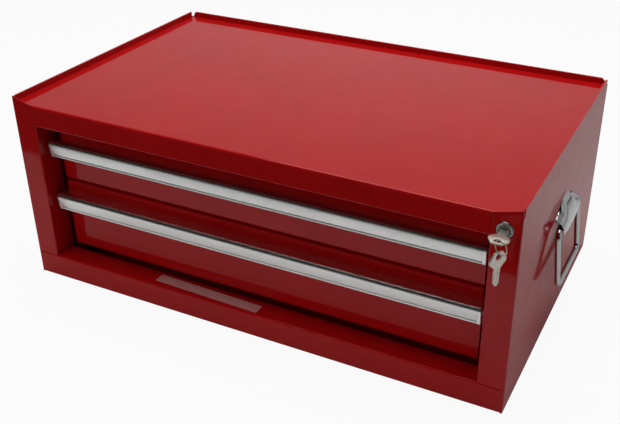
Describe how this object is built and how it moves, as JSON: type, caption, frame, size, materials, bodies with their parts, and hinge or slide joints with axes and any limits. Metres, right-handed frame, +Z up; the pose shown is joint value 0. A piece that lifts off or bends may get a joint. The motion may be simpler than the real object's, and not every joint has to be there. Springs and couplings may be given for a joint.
{
  "type": "top tool chest",
  "caption": "Folded sheet top tool chest with lipped tray top, recessed drawers on ball slides, full-width pulls, keyed bar lock and hooded bail handles",
  "frame": {"origin": "centre of the underside of the case, on the surface that the chest stands on", "axes": "+X to the right along the width, +Y to the back, +Z up"},
  "size_m": [0.6958, 0.4347, 0.2595],
  "materials": {
    "red_powder_coat": "gloss powder coat",
    "satin_aluminium": "satin anodised",
    "cap_metallic": "metallised gloss",
    "bright_chrome": "bright plated",
    "zinc_steel": "zinc plated",
    "nickel_key": "nickel plated",
    "lock_brass": "machined"
  },
  "bodies": {
    "case": {"back_panel": "red_powder_coat", "base_pan": "red_powder_coat", "left_front_upright": "red_powder_coat", "left_handle_hood": "bright_chrome", "left_lower_slide_outer": "zinc_steel", "left_rear_upright": "red_powder_coat", "left_side_panel": "red_powder_coat", "left_upper_slide_outer": "zinc_steel", "lock_bar_guides": "zinc_steel", "lock_housing": "bright_chrome", "lock_nut": "zinc_steel", "right_front_upright": "red_powder_coat", "right_handle_hood": "bright_chrome", "right_lower_slide_outer": "zinc_steel", "right_rear_upright": "red_powder_coat", "right_side_panel": "red_powder_coat", "right_upper_slide_outer": "zinc_steel", "side_handle_screws": "zinc_steel", "top_panel": "red_powder_coat"},
    "lock_plug": {"lock_plug": "lock_brass", "lock_cam": "zinc_steel", "cam_screw": "zinc_steel", "inserted_key": "nickel_key"},
    "lock_bar": {"lock_bar": "zinc_steel"},
    "key_ring": {"key_ring": "nickel_key"},
    "spare_key": {"spare_key": "nickel_key"},
    "left_bail": {"left_handle_bail": "bright_chrome"},
    "right_bail": {"right_handle_bail": "bright_chrome"},
    "upper_drawer": {"upper_drawer_box": "red_powder_coat", "upper_drawer_front": "red_powder_coat", "upper_drawer_pull": "satin_aluminium", "upper_drawer_back": "zinc_steel", "upper_pull_screws": "zinc_steel", "upper_lock_catch": "red_powder_coat", "left_upper_pull_cap": "cap_metallic", "right_upper_pull_cap": "cap_metallic", "left_upper_slide_inner": "zinc_steel", "right_upper_slide_inner": "zinc_steel"},
    "upper_slide_middles": {"left_upper_slide_middle": "zinc_steel", "right_upper_slide_middle": "zinc_steel"},
    "upper_outer_cages": {"left_upper_outer_ball_cage": "zinc_steel", "right_upper_outer_ball_cage": "zinc_steel"},
    "upper_inner_cages": {"left_upper_inner_ball_cage": "zinc_steel", "right_upper_inner_ball_cage": "zinc_steel"},
    "lower_drawer": {"lower_drawer_box": "red_powder_coat", "lower_drawer_front": "red_powder_coat", "lower_drawer_pull": "satin_aluminium", "lower_drawer_back": "zinc_steel", "lower_pull_screws": "zinc_steel", "lower_lock_catch": "red_powder_coat", "left_lower_pull_cap": "cap_metallic", "right_lower_pull_cap": "cap_metallic", "left_lower_slide_inner": "zinc_steel", "right_lower_slide_inner": "zinc_steel"},
    "lower_slide_middles": {"left_lower_slide_middle": "zinc_steel", "right_lower_slide_middle": "zinc_steel"},
    "lower_outer_cages": {"left_lower_outer_ball_cage": "zinc_steel", "right_lower_outer_ball_cage": "zinc_steel"},
    "lower_inner_cages": {"left_lower_inner_ball_cage": "zinc_steel", "right_lower_inner_ball_cage": "zinc_steel"}
  },
  "joints": [
    {"name": "upper_drawer_slide", "type": "slide", "parent": "case", "child": "upper_drawer", "axis": [0, -1, 0], "range_m": [0, 0.3]},
    {"name": "upper_slide_middles_slide", "type": "slide", "parent": "case", "child": "upper_slide_middles", "axis": [0, -1, 0], "range_m": [0, 0.15]},
    {"name": "upper_outer_cages_slide", "type": "slide", "parent": "case", "child": "upper_outer_cages", "axis": [0, -1, 0], "range_m": [0, 0.075]},
    {"name": "upper_inner_cages_slide", "type": "slide", "parent": "case", "child": "upper_inner_cages", "axis": [0, -1, 0], "range_m": [0, 0.225]},
    {"name": "lower_drawer_slide", "type": "slide", "parent": "case", "child": "lower_drawer", "axis": [0, -1, 0], "range_m": [0, 0.3]},
    {"name": "lower_slide_middles_slide", "type": "slide", "parent": "case", "child": "lower_slide_middles", "axis": [0, -1, 0], "range_m": [0, 0.15]},
    {"name": "lower_outer_cages_slide", "type": "slide", "parent": "case", "child": "lower_outer_cages", "axis": [0, -1, 0], "range_m": [0, 0.075]},
    {"name": "lower_inner_cages_slide", "type": "slide", "parent": "case", "child": "lower_inner_cages", "axis": [0, -1, 0], "range_m": [0, 0.225]},
    {"name": "lock_bar_drop", "type": "slide", "parent": "case", "child": "lock_bar", "axis": [0, 0, -1], "range_m": [0, 0.008]},
    {"name": "lock_turn", "type": "hinge", "parent": "case", "child": "lock_plug", "pos_m": [0.3122, -0.199, 0.2346], "axis": [0, 1, 0], "range_deg": [0, 90]},
    {"name": "key_ring_swing", "type": "hinge", "parent": "lock_plug", "child": "key_ring", "pos_m": [0.31657, -0.22522, 0.229], "axis": [-0.309, -0.9511, 0], "range_deg": [-20, 20]},
    {"name": "spare_key_swing", "type": "hinge", "parent": "key_ring", "child": "spare_key", "pos_m": [0.31657, -0.22522, 0.2183], "axis": [0.9135, -0.4067, 0], "range_deg": [-40, 40]},
    {"name": "right_bail_swing", "type": "hinge", "parent": "case", "child": "right_bail", "pos_m": [0.337, 0.0015, 0.1545], "axis": [0, -1, 0], "range_deg": [0, 80]},
    {"name": "left_bail_swing", "type": "hinge", "parent": "case", "child": "left_bail", "pos_m": [-0.337, 0.0015, 0.1545], "axis": [0, 1, 0], "range_deg": [0, 80]}
  ],
  "couplings": [
    {"joint": "upper_slide_middles_slide", "follows": "upper_drawer_slide", "ratio": 0.5},
    {"joint": "upper_outer_cages_slide", "follows": "upper_drawer_slide", "ratio": 0.25},
    {"joint": "upper_inner_cages_slide", "follows": "upper_drawer_slide", "ratio": 0.75},
    {"joint": "lower_slide_middles_slide", "follows": "lower_drawer_slide", "ratio": 0.5},
    {"joint": "lower_outer_cages_slide", "follows": "lower_drawer_slide", "ratio": 0.25},
    {"joint": "lower_inner_cages_slide", "follows": "lower_drawer_slide", "ratio": 0.75},
    {"joint": "lock_turn", "follows": "lock_bar_drop", "rad_per_m": 196.3}
  ]
}
